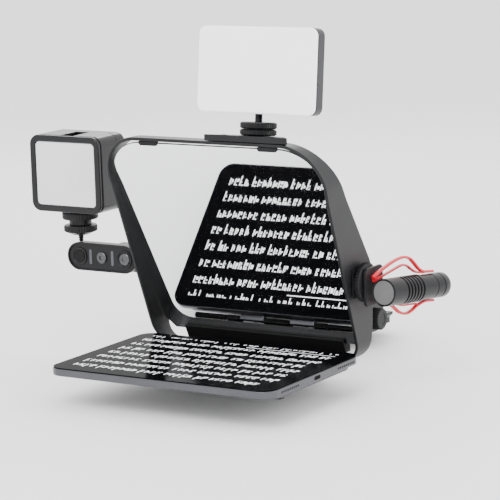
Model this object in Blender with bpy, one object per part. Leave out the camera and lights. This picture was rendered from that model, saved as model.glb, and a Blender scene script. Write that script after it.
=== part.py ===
"""Beam-splitter teleprompter with a tablet, two LED lights and a side microphone.

Lengths below are in millimetres. They are measured from the middle of the far
edge of the tablet's screen: +X to the right, +Y towards the video camera, +Z up.
ORIGIN is the middle of the tripod foot's underside, and everything is shifted so
that it lands on the world origin, in metres.
"""

import math

import bmesh
import bpy
import numpy as np
from mathutils import Matrix, Vector

MM = 0.001
ORIGIN = (0.0, 100.0, -30.0)
GAP = 0.3

# tablet and tray
TABLET_HALF = 97.7
TABLET_DEPTH = 134.8
TABLET_THICK = 6.3
TABLET_CORNER = 12.0
SCREEN_THICK = 0.6
TRAY_TOP = -6.6
TRAY_BOTTOM = -10.6
TRAY_HALF = 92.0
TRAY_FRONT = -120.0
HINGE_Y = 3.0
HINGE_Z = -8.6

# hood: a closed band, its front edge leaning forwards
HOOD_TOP = 165.0
HOOD_BOTTOM = -9.0
HOOD_BAND = 2.5
HOOD_HALF_LOW = 93.8
HOOD_HALF_HIGH = 96.9
HOOD_R_TOP = 34.0
HOOD_R_LOW = 17.0
HOOD_FRONT_Y = 3.0
HOOD_LEAN = 69.5
HOOD_BACK = ((-9.0, 21.0), (0.0, 22.5), (12.0, 24.0), (22.0, 24.6), (54.0, 24.6), (62.0, 23.6),
             (69.0, 20.4), (165.0, -45.5))

# beam-splitter glass
GLASS_Y = 21.0
GLASS_ANGLE = 64.9
GLASS_THICK = 2.0
GLASS_LOW = 1.4
GLASS_TOP_Z = 161.2

# base under the camera
RAIL_END = 196.0
CARRIAGE_Y = (130.0, 170.0)
CARRIAGE_TOP = 6.0

# top light, on a shoe that leans back
SHOE_X = 37.5
SHOE_Y = -42.0
SHOE_Z = 168.2
SHOE_LEAN = 7.0
PANEL_HALF = 50.8
PANEL_LOW = 16.5
PANEL_HIGH = 80.5

# side arm and cube light
ARM_Z = 59.0
ARM_R = 11.3
ARM_PIVOT_X = -110.3
ARM_END_X = -153.7
ARM_Y = (-10.0, -2.0)
CUBE_HALF = 33.5
CUBE_Z = (96.3, 157.6)
CUBE_Y = (-24.5, 12.5)

# microphone
MIC_FRONT = (118.0, -2.0, 48.7)
MIC_REAR = (126.0, 85.0, 40.6)
MIC_R = 10.5
KNOB_Y = 4.0
KNOB_Z = 54.5


def clear_scene():
    for item in list(bpy.data.objects):
        bpy.data.objects.remove(item, do_unlink=True)
    for mesh in list(bpy.data.meshes):
        bpy.data.meshes.remove(mesh)


def material(name, colour, rough, metallic=0.0, alpha=1.0):
    mat = bpy.data.materials.new(name)
    mat.use_nodes = True
    shader = mat.node_tree.nodes["Principled BSDF"]
    shader.inputs["Base Color"].default_value = (colour[0], colour[1], colour[2], 1.0)
    shader.inputs["Roughness"].default_value = rough
    shader.inputs["Metallic"].default_value = metallic
    shader.inputs["Alpha"].default_value = alpha
    mat.diffuse_color = (colour[0], colour[1], colour[2], alpha)
    return mat


PLAIN = Matrix.Identity(4)


def build(name, verts, faces, look, place=PLAIN, smooth=False):
    """Make one object from millimetre vertices, its origin at their middle."""
    shift = Vector(ORIGIN)
    points = [(place @ Vector(v) - shift) * MM for v in verts]
    low = Vector([min(p[i] for p in points) for i in range(3)])
    high = Vector([max(p[i] for p in points) for i in range(3)])
    centre = (low + high) / 2
    mesh = bpy.data.meshes.new(name)
    mesh.from_pydata([tuple(p - centre) for p in points], [], faces)
    outward = bmesh.new()
    outward.from_mesh(mesh)
    bmesh.ops.recalc_face_normals(outward, faces=outward.faces[:])
    outward.to_mesh(mesh)
    outward.free()
    thing = bpy.data.objects.new(name, mesh)
    thing.location = centre
    bpy.context.scene.collection.objects.link(thing)
    mesh.materials.append(material(name + "_look", *look))
    if smooth:
        mesh.shade_smooth()
        mesh.set_sharp_from_angle(angle=math.radians(35))
    return thing


def set_origin(thing, point):
    """Move an object's origin to a point on its joint axis."""
    target = (Vector(point) - Vector(ORIGIN)) * MM
    step = target - thing.location
    thing.data.transform(Matrix.Translation(-step))
    thing.location = target
    return thing


def frame_of(axis):
    """Two unit vectors square to a named axis, so that u x v = axis."""
    if axis == "X":
        return (1, 2, 0)
    if axis == "Y":
        return (2, 0, 1)
    return (0, 1, 2)


def prism(name, outline, axis, low, high, look, place=PLAIN, smooth=False):
    """Extrude an outline along an axis: (y, z) for X, (z, x) for Y, (x, y) for Z."""
    u, v, w = frame_of(axis)
    count = len(outline)
    verts = []
    for level in (low, high):
        for a, b in outline:
            point = [0.0, 0.0, 0.0]
            point[u] = a
            point[v] = b
            point[w] = level
            verts.append(point)
    faces = [tuple(reversed(range(count))), tuple(range(count, 2 * count))]
    for i in range(count):
        j = (i + 1) % count
        faces.append((i, j, count + j, count + i))
    return build(name, verts, faces, look, place, smooth)


def ring_prism(name, outer, inner, axis, low, high, look, place=PLAIN, smooth=False):
    """Extrude the band between two outlines that have the same number of points."""
    u, v, w = frame_of(axis)
    count = len(outer)
    verts = []
    for level in (low, high):
        for line in (outer, inner):
            for a, b in line:
                point = [0.0, 0.0, 0.0]
                point[u] = a
                point[v] = b
                point[w] = level
                verts.append(point)
    faces = []
    for i in range(count):
        j = (i + 1) % count
        faces.append((i, count + i, count + j, j))
        faces.append((2 * count + i, 2 * count + j, 3 * count + j, 3 * count + i))
        faces.append((i, j, 2 * count + j, 2 * count + i))
        faces.append((count + j, count + i, 3 * count + i, 3 * count + j))
    return build(name, verts, faces, look, place, smooth)


def lathe(name, profile, axis, centre, look, place=PLAIN, segments=24):
    """Turn a profile of (radius, height) about an axis; the profile runs upwards outside."""
    u, v, w = frame_of(axis)
    closed = profile[0][0] > 0
    verts = []
    rings = []
    for radius, height in profile:
        ring = []
        steps = segments if radius > 0 else 1
        for i in range(steps):
            angle = 2 * math.pi * i / segments
            point = [centre[0], centre[1], centre[2]]
            point[u] += radius * math.cos(angle)
            point[v] += radius * math.sin(angle)
            point[w] += height
            ring.append(len(verts))
            verts.append(point)
        rings.append(ring)
    pairs = list(zip(rings, rings[1:]))
    if closed:
        pairs.append((rings[-1], rings[0]))
    faces = []
    for low, high in pairs:
        for i in range(segments):
            j = (i + 1) % segments
            if len(low) == 1:
                faces.append((low[0], high[j], high[i]))
            elif len(high) == 1:
                faces.append((low[i], low[j], high[0]))
            else:
                faces.append((low[i], low[j], high[j], high[i]))
    return build(name, verts, faces, look, place, True)


def solid_round(radius, low, high, chamfer=0.5):
    """Profile of a plain round bar with small chamfers."""
    return [(0, low), (radius - chamfer, low), (radius, low + chamfer), (radius, high - chamfer),
            (radius - chamfer, high), (0, high)]


def ring_round(inner, outer, low, high, chamfer=0.6):
    """Profile of a washer or lock disc with a hole through it."""
    return [(inner, low), (outer - chamfer, low), (outer, low + chamfer), (outer, high - chamfer),
            (outer - chamfer, high), (inner, high)]


def rounded(low_u, high_u, low_v, high_v, radius, steps=5):
    """Outline of a rounded rectangle."""
    corners = ((high_u - radius, high_v - radius, 0), (low_u + radius, high_v - radius, 90),
               (low_u + radius, low_v + radius, 180), (high_u - radius, low_v + radius, 270))
    points = []
    for cu, cv, start in corners:
        for i in range(steps + 1):
            angle = math.radians(start + 90 * i / steps)
            points.append((cu + radius * math.cos(angle), cv + radius * math.sin(angle)))
    return points


def cut(thing, cutters):
    """Take cutter solids away from an object."""
    for number, cutter in enumerate(cutters):
        cutter.hide_render = True
        cutter.display_type = "WIRE"
        step = thing.modifiers.new("cut_%02d" % number, "BOOLEAN")
        step.operation = "DIFFERENCE"
        step.solver = "EXACT"
        step.object = cutter
    return thing


CUTTER = ((0.5, 0.1, 0.1), 0.5)
BLACK_METAL = ((0.035, 0.035, 0.038), 0.42, 0.6)
BLACK_PLASTIC = ((0.02, 0.02, 0.022), 0.5)
GREY_METAL = ((0.22, 0.22, 0.24), 0.35, 0.9)
SCREW = ((0.25, 0.25, 0.26), 0.3, 1.0)
RUBBER = ((0.015, 0.015, 0.015), 0.85)
WHITE = ((0.9, 0.9, 0.92), 0.4)
RED = ((0.8, 0.03, 0.05), 0.45)


def hood_half(z):
    return HOOD_HALF_LOW + (HOOD_HALF_HIGH - HOOD_HALF_LOW) * z / HOOD_TOP


def hood_front(z):
    return HOOD_FRONT_Y - z / math.tan(math.radians(HOOD_LEAN))


def hood_back(z):
    heights = [p[0] for p in HOOD_BACK]
    depths = [p[1] for p in HOOD_BACK]
    return float(np.interp(z, heights, depths))


def hood_loop(inset):
    """The band's line seen from the front, anticlockwise, moved inwards by inset."""
    top = HOOD_TOP - inset
    low = HOOD_BOTTOM + inset
    half_top = hood_half(HOOD_TOP) - inset
    half_low = hood_half(0) - inset
    points = []
    side_heights = (20.0, 38.0, 54.0, 62.0, 69.0, 90.0, 110.0)
    for h in side_heights:
        points.append((hood_half(h) - inset, h))
    radius = HOOD_R_TOP - inset
    for i in range(10):
        angle = math.radians(90 * i / 9)
        points.append((half_top - radius + radius * math.cos(angle), top - radius + radius * math.sin(angle)))
    for i in range(10):
        angle = math.radians(90 + 90 * i / 9)
        points.append((-half_top + radius + radius * math.cos(angle),
            top - radius + radius * math.sin(angle)))
    for h in reversed(side_heights):
        points.append((-hood_half(h) + inset, h))
    radius = HOOD_R_LOW - inset
    for i in range(8):
        angle = math.radians(180 + 90 * i / 7)
        points.append((-half_low + radius + radius * math.cos(angle),
            low + radius + radius * math.sin(angle)))
    for i in range(8):
        angle = math.radians(270 + 90 * i / 7)
        points.append((half_low - radius + radius * math.cos(angle), low + radius + radius * math.sin(angle)))
    return points


def make_hood():
    outer = hood_loop(0.0)
    inner = hood_loop(HOOD_BAND)
    count = len(outer)
    verts = []
    for line in (outer, inner):
        for (x, z), (_, z_out) in zip(line, outer):
            verts.append((x, hood_front(z_out), z))
        for (x, z), (_, z_out) in zip(line, outer):
            verts.append((x, hood_back(z_out), z))
    faces = []
    for i in range(count):
        j = (i + 1) % count
        of, ob, nf, nb = 0, count, 2 * count, 3 * count
        faces.append((of + i, ob + i, ob + j, of + j))
        faces.append((ob + i, nb + i, nb + j, ob + j))
        faces.append((nb + i, nf + i, nf + j, nb + j))
        faces.append((nf + i, of + i, of + j, nf + j))
    build("hood_frame", verts, faces, BLACK_METAL, PLAIN, True)


def glass_place():
    """Local x across, local y up the glass, local z out of its rear face."""
    lean = math.radians(GLASS_ANGLE)
    up = Vector((0, -math.cos(lean), math.sin(lean)))
    back = Vector((0, math.sin(lean), math.cos(lean)))
    side = Vector((1, 0, 0))
    place = Matrix((side, up, back)).transposed().to_4x4()
    place.translation = Vector((0, GLASS_Y, 0))
    return place


def make_glass():
    slope = math.sin(math.radians(GLASS_ANGLE))
    top = GLASS_TOP_Z / slope - GLASS_THICK / 2
    inset = HOOD_BAND + 0.5
    points = []
    low_half = hood_half(0) - inset
    top_half = hood_half(HOOD_TOP) - inset
    radius = 33.0
    points.append((low_half - 8.0, GLASS_LOW))
    points.append((low_half, GLASS_LOW + 10.0))
    for i in range(8):
        angle = math.radians(90 * i / 7)
        points.append((top_half - radius - 0.3 + radius * math.cos(angle),
            top - radius + radius * math.sin(angle)))
    for i in range(8):
        angle = math.radians(90 + 90 * i / 7)
        points.append((-top_half + radius + 0.3 + radius * math.cos(angle),
            top - radius + radius * math.sin(angle)))
    points.append((-low_half, GLASS_LOW + 10.0))
    points.append((-low_half + 8.0, GLASS_LOW))
    prism("beam_splitter_glass", points, "Z", 0.0, GLASS_THICK, ((0.75, 0.8, 0.82), 0.03, 0.0, 0.3),
        glass_place())


def make_glass_holders():
    low = GLASS_LOW - GAP
    outline = [(-5.4, -2.5), (low + 4.2, -2.5), (low + 4.2, -GAP), (low, -GAP), (low, GLASS_THICK + GAP),
               (low + 4.2, GLASS_THICK + GAP), (low + 4.2, 4.8), (-5.4, 4.8)]
    prism("glass_bottom_channel", outline, "X", -72.0, 72.0, BLACK_PLASTIC, glass_place())
    for side, x in (("left", -51.0), ("right", 54.0)):
        outline = [(-58.0, 159.0), (-55.5, 159.0), (-55.5, 162.2), (-58.0, 162.2)]
        prism("glass_clip_" + side, outline, "X", x - 8.5, x + 8.5, BLACK_PLASTIC)


def make_hinge_block():
    outline = [(7.0, -21.0), (30.0, -21.0), (30.0, -9.3), (7.0, -9.3)]
    lug = [(1.0, -12.5), (4.0, -17.0), (7.0, -21.0), (30.0, -21.0), (30.0, -9.3), (4.9, -9.3), (4.9,
        -6.9), (1.0, -6.9)]
    body = prism("hinge_block", outline, "X", -46.0, 46.0, BLACK_METAL)
    spans = ((-46.0, -34.4), (-11.6, 11.6), (34.4, 46.0))
    for number, (low, high) in enumerate(spans):
        piece = prism("lug_%d" % number, lug, "X", low, high, CUTTER)
        piece.hide_render = True
        piece.display_type = "WIRE"
        join = body.modifiers.new("lug_%d" % number, "BOOLEAN")
        join.operation = "UNION"
        join.solver = "EXACT"
        join.object = piece
    hole = lathe("lug_hole", solid_round(1.3, -60.0, 60.0, 0.1), "X", (0, HINGE_Y, HINGE_Z), CUTTER,
        PLAIN, 16)
    cut(body, [hole])
    lathe("hinge_pin", solid_round(1.0, -45.5, 45.5, 0.2), "X", (0, HINGE_Y, HINGE_Z), SCREW, PLAIN, 16)


def make_tray():
    outline = [(TRAY_HALF - 14, -1.0), (34.0, -1.0), (34.0, 4.6), (12.0, 4.6), (12.0, -1.0), (-12.0, -1.0),
               (-12.0, 4.6), (-34.0, 4.6), (-34.0, -1.0), (-TRAY_HALF + 14, -1.0)]
    front = rounded(-TRAY_HALF, TRAY_HALF, TRAY_FRONT, -1.0, 14.0)
    start = [p for p in front if p[0] > 0 and p[1] > -60]
    rest = [p for p in front if not (p[0] > 0 and p[1] > -60)]
    line = start + outline[1:-1] + rest
    tray = prism("tray_plate", line, "Z", TRAY_BOTTOM, TRAY_TOP, GREY_METAL)
    hole = lathe("tray_hole", solid_round(1.25, -60.0, 60.0, 0.1), "X", (0, HINGE_Y, HINGE_Z), CUTTER,
        PLAIN, 16)
    grooves = []
    for number, x in enumerate((-62.0, 62.0)):
        low = TRAY_TOP - 1.2
        grooves.append(prism("pad_groove_%d" % number, rounded(x - 6.3, x + 6.3, -112.3, -17.7, 4.3),
            "Z", low, 0.0,
                             CUTTER))
    cut(tray, [hole] + grooves)
    set_origin(tray, (0, HINGE_Y, HINGE_Z))
    for side, x in (("left", -62.0), ("right", 62.0)):
        pad = prism("tray_pad_" + side, rounded(x - 6, x + 6, -112, -18, 4.0), "Z", TRAY_TOP - 0.9,
            TRAY_TOP, RUBBER)
        set_origin(pad, (0, HINGE_Y, HINGE_Z))
    for side, x in (("left", -84.0), ("right", 84.0)):
        low = TRAY_BOTTOM - GAP
        foot = lathe("tray_foot_" + side, solid_round(4.0, low - 2.6, low, 0.5), "Z", (x, -100.0, 0.0),
            RUBBER)
        set_origin(foot, (0, HINGE_Y, HINGE_Z))


def make_tablet():
    deep = -TABLET_DEPTH
    line = rounded(-TABLET_HALF, TABLET_HALF, deep, 0.0, TABLET_CORNER)
    top = -SCREEN_THICK - GAP
    body = prism("tablet_body", line, "Z", -TABLET_THICK, top, GREY_METAL)
    power_pocket = prism("power_pocket", rounded(-31.3, -18.7, -5.0, -2.4, 1.2, 3), "X", -99.0, -95.9, CUTTER)
    volume_pocket = prism("volume_pocket", rounded(-66.3, -43.7, -5.0, -2.4, 1.2, 3), "X", -99.0, -95.9,
        CUTTER)
    port_pocket = prism("port_pocket", rounded(-71.9, -62.9, -5.1, -2.3, 1.35, 3), "X", 93.0, 99.0, CUTTER)
    cut(body, [power_pocket, volume_pocket, port_pocket])
    glass = rounded(-TABLET_HALF + 0.5, TABLET_HALF - 0.5, deep + 0.5, -0.5, TABLET_CORNER - 0.5)
    prism("tablet_screen", glass, "Z", -SCREEN_THICK, 0.0, ((0.005, 0.005, 0.006), 0.08))
    prism("tablet_port_tongue", rounded(-70.5, -64.3, -4.1, -3.3, 0.3, 2), "X", 93.3, 96.9, SCREW)
    prism("tablet_power_button", rounded(-31.0, -19.0, -4.7, -2.7, 0.95, 3), "X", -98.1, -96.7, GREY_METAL)
    prism("tablet_volume_button", rounded(-66.0, -44.0, -4.7, -2.7, 0.95, 3), "X", -98.1, -96.7, GREY_METAL)


def make_base():
    outline = [(-16.0, -21.0), (16.0, -21.0), (16.0, -16.3), (19.0, -13.3), (19.0, -11.3), (-19.0, -11.3),
               (-19.0, -13.3), (-16.0, -16.3)]
    prism("base_rail", [(z, x) for x, z in outline], "Y", 30.3, RAIL_END, BLACK_METAL)
    foot = prism("tripod_foot", rounded(-19.0, 19.0, 76.0, 124.0, 3.0), "Z", -30.0, -21.3, BLACK_METAL)
    small = lathe("small_socket", solid_round(3.2, -31.0, -23.5, 0.1), "Z", (0, 112.0, 0), CUTTER)
    large = lathe("large_socket", solid_round(4.8, -31.0, -23.5, 0.1), "Z", (0, 88.0, 0), CUTTER)
    cut(foot, [small, large])
    lathe("rail_end_stop", solid_round(4.0, -11.0, -8.0, 0.5), "Z", (0, RAIL_END - 5.0, 0), SCREW)


def make_carriage():
    low_y, high_y = CARRIAGE_Y
    mid = (low_y + high_y) / 2
    half = 24.0
    line = [(-half, -20.0), (-16.5, -20.0), (-16.5, -16.6), (-19.4, -13.5), (-19.4, -11.0), (19.4, -11.0),
            (19.4, -13.5), (16.5, -16.6), (16.5, -20.0), (half, -20.0), (half, CARRIAGE_TOP), (-half,
                CARRIAGE_TOP)]
    body = prism("camera_carriage", [(z, x) for x, z in line], "Y", low_y, high_y, BLACK_METAL)
    pocket = lathe("screw_pocket", solid_round(7.5, 1.8, 9.0, 0.1), "Z", (0, mid, 0), CUTTER)
    knob_hole = lathe("knob_hole", solid_round(2.3, 10.0, 30.0, 0.1), "X", (0, mid, -8.0), CUTTER, PLAIN, 16)
    cut(body, [pocket, knob_hole])
    plate_low = CARRIAGE_TOP + GAP
    plate = prism("camera_plate", rounded(-27, 27, low_y - 3, high_y + 3, 4), "Z", plate_low,
        plate_low + 4, GREY_METAL)
    hole = lathe("plate_hole", solid_round(3.5, 5.0, 14.0, 0.1), "Z", (0, mid, 0), CUTTER)
    cut(plate, [hole])
    pad_low = plate_low + 4.0 + GAP
    pad = prism("camera_pad", rounded(-25, 25, low_y - 1, high_y + 1, 3), "Z", pad_low, pad_low + 1.5, RUBBER)
    pad_hole = lathe("pad_hole", solid_round(4.2, 5.0, 16.0, 0.1), "Z", (0, mid, 0), CUTTER)
    cut(pad, [pad_hole])
    screw = [(0, 2.2), (6.6, 2.2), (7.0, 2.6), (7.0, 5.6), (6.6, 6.0), (3.1, 6.0), (3.1, 17.6), (2.6,
        18.2), (0, 18.2)]
    set_origin(lathe("camera_screw", screw, "Z", (0, mid, 0), SCREW), (0, mid, 0))
    knob = [(0, 20.5), (2.0, 20.5), (2.0, 24.4), (8.4, 24.4), (9.0, 25.0), (9.0, 33.4), (8.4, 34.0), (0,
        34.0)]
    set_origin(lathe("carriage_knob", knob, "X", (0, mid, -8.0), BLACK_PLASTIC), (24, mid, -8.0))


def shoe_place():
    """Local z along the top light's stud, local y towards the rear, at the shoe's top."""
    place = Matrix.Rotation(math.radians(-SHOE_LEAN), 4, "X")
    place.translation = Vector((SHOE_X, SHOE_Y, SHOE_Z))
    return place


def make_top_light():
    front = hood_front(HOOD_TOP) + 0.4
    rear = front + 24.5
    fall = math.tan(math.radians(SHOE_LEAN))
    high = SHOE_Z + (SHOE_Y - front) * fall
    low = SHOE_Z + (SHOE_Y - rear) * fall
    base = HOOD_TOP + GAP
    wide = 36.0
    slim = 19.0
    mid = SHOE_X - 1.5
    verts = [(mid - wide, front, base), (mid + wide, front, base), (mid + slim, rear, base), (mid - slim,
        rear, base),
             (mid - wide, front, high), (mid + wide, front, high), (mid + slim, rear, low), (mid - slim,
                 rear, low)]
    faces = [(3, 2, 1, 0), (4, 5, 6, 7), (0, 1, 5, 4), (1, 2, 6, 5), (2, 3, 7, 6), (3, 0, 4, 7)]
    bracket = build("top_shoe_bracket", verts, faces, BLACK_METAL)
    place = shoe_place()
    socket = lathe("bracket_socket", solid_round(3.4, -1.9, 4.0, 0.1), "Z", (0, 0, 0), CUTTER, place)
    cut(bracket, [socket])
    for side, x in (("left", 14.0), ("right", 59.0)):
        at = (x - SHOE_X, -10.5, 0.0)
        lathe("bracket_screw_" + side, solid_round(3.0, GAP, 1.9, 0.4), "Z", at, SCREW, place, 16)
    seat = (SHOE_X, SHOE_Y, SHOE_Z)
    low_disc = lathe("top_lock_disc_lower", ring_round(3.3, 13.7, 0.4, 5.0), "Z", (0, 0, 0), BLACK_METAL,
        place)
    high_disc = lathe("top_lock_disc_upper", ring_round(3.3, 13.7, 5.3, 10.3), "Z", (0, 0, 0),
        BLACK_METAL, place)
    stud = lathe("top_light_stud", solid_round(3.0, -1.6, 22.0, 0.4), "Z", (0, 0, 0), SCREW, place, 16)
    line = rounded(-PANEL_HALF, PANEL_HALF, PANEL_LOW, PANEL_HIGH, 6.0)
    side_line = [(z, x) for x, z in line]
    body = prism("top_light_housing", side_line, "Y", -3.4, 6.0, GREY_METAL, place)
    bore = lathe("panel_socket", solid_round(3.4, 10.0, 22.4, 0.1), "Z", (0, 0, 0), CUTTER, place, 16)
    key = prism("panel_key_hole", [(z, x) for x, z in rounded(26.7, 33.3, 62.7, 69.3, 3.2, 4)], "Y", 4.2, 8.0,
                CUTTER, place)
    cut(body, [bore, key])
    face = [(z, x) for x, z in rounded(-PANEL_HALF, PANEL_HALF, PANEL_LOW, PANEL_HIGH, 6.0)]
    front_face = prism("top_light_diffuser", face, "Y", -6.6, -3.7, WHITE, place)
    lathe("top_light_button", solid_round(3.0, 4.9, 6.8, 0.3), "Y", (30.0, 0, 66.0), BLACK_PLASTIC, place, 16)
    for thing in (low_disc, high_disc, stud, body, front_face):
        set_origin(thing, seat)


def make_side_arm():
    inner = -hood_half(68.0) - GAP
    ear = [(inner, -1.7), (inner, 20.0), (inner - 3.6, 20.0), (inner - 3.6, 6.0), (-121.0, 6.0), (-121.0,
        -1.7)]
    shoe = prism("side_shoe_left", ear, "Z", 48.0, 70.0, BLACK_METAL)
    ear_hole = lathe("ear_hole", solid_round(2.9, -5.0, 10.0, 0.1), "Y", (ARM_PIVOT_X, 0, ARM_Z), CUTTER,
        PLAIN, 16)
    cut(shoe, [ear_hole])
    line = []
    for centre, start in ((ARM_PIVOT_X, -90), (ARM_END_X, 90)):
        for i in range(13):
            angle = math.radians(start + 180 * i / 12)
            line.append((centre + ARM_R * math.cos(angle), ARM_Z + ARM_R * math.sin(angle)))
    arm = prism("side_arm", [(z, x) for x, z in line], "Y", ARM_Y[0], ARM_Y[1], BLACK_METAL)
    hole = lathe("arm_hole", solid_round(2.9, -15.0, 5.0, 0.1), "Y", (ARM_PIVOT_X, 0, ARM_Z), CUTTER,
        PLAIN, 16)
    seat = lathe("arm_seat", solid_round(7.0, -15.0, -8.4, 0.1), "Y", (ARM_PIVOT_X, 0, ARM_Z), CUTTER)
    end_seat = lathe("arm_end_seat", solid_round(7.0, -15.0, -8.4, 0.1), "Y", (ARM_END_X, 0, ARM_Z), CUTTER)
    middle = (ARM_PIVOT_X + ARM_END_X) / 2
    mid_seat = lathe("arm_mid_seat", solid_round(5.4, -15.0, -8.6, 0.1), "Y", (middle, 0, ARM_Z), CUTTER)
    slots = []
    for number, x in enumerate((middle - 11.0, middle + 11.0)):
        slot = rounded(ARM_Z - 6.5, ARM_Z + 6.5, x - 1.3, x + 1.3, 1.2, 3)
        slots.append(prism("arm_slot_%d" % number, slot, "Y", -15.0, -9.2, CUTTER))
    cut(arm, [hole, seat, end_seat, mid_seat] + slots)
    set_origin(arm, (ARM_PIVOT_X, -2.0, ARM_Z))
    bolt = [(0, -9.9), (5.6, -9.9), (6.2, -9.4), (6.2, -8.7), (2.5, -8.7), (2.5, 5.2), (2.2, 5.6), (0, 5.6)]
    lathe("side_arm_pivot_bolt", bolt, "Y", (ARM_PIVOT_X, 0, ARM_Z), SCREW)
    cap = solid_round(6.2, -9.9, -8.7, 0.4)
    set_origin(lathe("side_arm_end_cap", cap, "Y", (ARM_END_X, 0, ARM_Z), RUBBER), (ARM_PIVOT_X, -2.0, ARM_Z))
    centre_screw = solid_round(4.6, -10.2, -8.9, 0.4)
    set_origin(lathe("side_arm_centre_screw", centre_screw, "Y", (middle, 0, ARM_Z), SCREW),
               (ARM_PIVOT_X, -2.0, ARM_Z))


def make_cube_light():
    x = ARM_END_X
    y = (ARM_Y[0] + ARM_Y[1]) / 2
    top = ARM_Z + ARM_R
    stud = [(0, top + GAP), (1.6, top + GAP), (2.6, top + 1.6), (1.8, top + 3.0), (3.0, top + 5.4), (3.0,
        101.8),
            (2.7, 102.2), (0, 102.2)]
    spot = (x, y, 0)
    set_origin(lathe("cube_light_stud", stud, "Z", spot, SCREW, PLAIN, 16), (x, y, 90.0))
    low_disc = [(3.3, 76.2), (9.0, 76.2), (11.5, 77.6), (13.4, 79.0), (13.4, 83.6), (12.6, 84.4), (3.3, 84.4)]
    set_origin(lathe("cube_lock_disc_lower", low_disc, "Z", spot, BLACK_METAL), (x, y, 80.0))
    high_disc = [(3.3, 84.7), (9.0, 84.7), (9.0, 88.0), (14.0, 89.0), (14.4, 89.6), (14.4, 94.4), (13.6,
        95.2),
                 (3.3, 95.2)]
    set_origin(lathe("cube_lock_disc_upper", high_disc, "Z", spot, BLACK_METAL), (x, y, 90.0))
    low, high = x - CUBE_HALF, x + CUBE_HALF
    shell = [(b, a) for a, b in rounded(low, high, CUBE_Z[0], CUBE_Z[1], 8.0)]
    body = prism("cube_light_housing", shell, "Y", CUBE_Y[0] + 3.5, CUBE_Y[1], BLACK_PLASTIC)
    bore = lathe("cube_socket", solid_round(3.4, 90.0, 102.6, 0.1), "Z", spot, CUTTER, PLAIN, 16)
    slot = prism("cube_shoe_slot", [(x - 6.3, -30.0), (x + 6.3, -30.0), (x + 6.3, 2.0), (x - 6.3, 2.0)], "Z",
                 CUBE_Z[1] - 3.6, CUBE_Z[1] + 5.0, CUTTER)
    key = prism("cube_key_hole", [(b, a) for a, b in rounded(x - 3.3, x + 3.3, 141.7, 148.3, 3.2, 4)], "Y",
                CUBE_Y[1] - 1.9, CUBE_Y[1] + 4.0, CUTTER)
    cut(body, [bore, slot, key])
    outer = shell
    inner = [(b, a) for a, b in rounded(low + 5.0, high - 5.0, CUBE_Z[0] + 5.0, CUBE_Z[1] - 5.0, 4.0)]
    bezel = ring_prism("cube_light_bezel", outer, inner, "Y", CUBE_Y[0], CUBE_Y[0] + 3.2, BLACK_PLASTIC)
    face = [(b, a) for a, b in rounded(low + 5.3, high - 5.3, CUBE_Z[0] + 5.3, CUBE_Z[1] - 5.3, 3.7)]
    diffuser = prism("cube_light_diffuser", face, "Y", CUBE_Y[0] + 0.9, CUBE_Y[0] + 3.2, WHITE)
    for thing in (body, bezel, diffuser):
        set_origin(thing, (x, y, 96.0))
    low_y = CUBE_Y[1] - 1.3
    lathe("cube_light_button", solid_round(3.0, low_y, low_y + 2.0, 0.3), "Y", (x, 0, 145.0), GREY_METAL,
        PLAIN, 16)


def mic_place():
    """Local y along the microphone from its front, local x outwards, local z up."""
    along = (Vector(MIC_REAR) - Vector(MIC_FRONT)).normalized()
    side = Vector((1, 0, 0))
    side = (side - along * side.dot(along)).normalized()
    up = side.cross(along)
    place = Matrix((side, along, up)).transposed().to_4x4()
    place.translation = Vector(MIC_FRONT)
    return place


ARM_PATHS = {
    "upper": ((108.0, 3.0, 60.5), (110.0, 16.7, 63.7), (112.0, 27.2, 67.1), (115.0, 37.7, 68.9), (117.5,
        44.2, 66.4),
              (119.5, 48.3, 61.2), (122.0, 54.0, 55.6), (124.2, 66.0, 53.8)),
    "lower": ((108.0, 8.0, 40.0), (109.5, 17.2, 37.0), (112.0, 24.2, 33.0), (114.0, 28.7, 28.5), (116.0,
        35.7, 25.6),
              (118.0, 41.7, 27.4), (119.5, 48.8, 30.6), (122.0, 56.0, 32.0), (124.2, 66.0, 30.9)),
}


def make_spring_arm(name, path, half_wide, half_thick):
    """Sweep a flat strip along a path, its width kept square to the run and near to X."""
    verts = []
    for i, point in enumerate(path):
        before = Vector(path[max(i - 1, 0)])
        after = Vector(path[min(i + 1, len(path) - 1)])
        run = (after - before).normalized()
        wide = Vector((1, 0, 0))
        wide = (wide - run * wide.dot(run)).normalized()
        thick = run.cross(wide)
        for a, b in ((-1, -1), (1, -1), (1, 1), (-1, 1)):
            verts.append(Vector(point) + wide * a * half_wide + thick * b * half_thick)
    count = len(path)
    faces = [(0, 1, 2, 3), tuple(4 * (count - 1) + k for k in range(4))]
    for i in range(count - 1):
        for k in range(4):
            j = (k + 1) % 4
            faces.append((4 * i + k, 4 * i + j, 4 * i + 4 + j, 4 * i + 4 + k))
    return build(name, verts, faces, RED, PLAIN, True)


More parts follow.
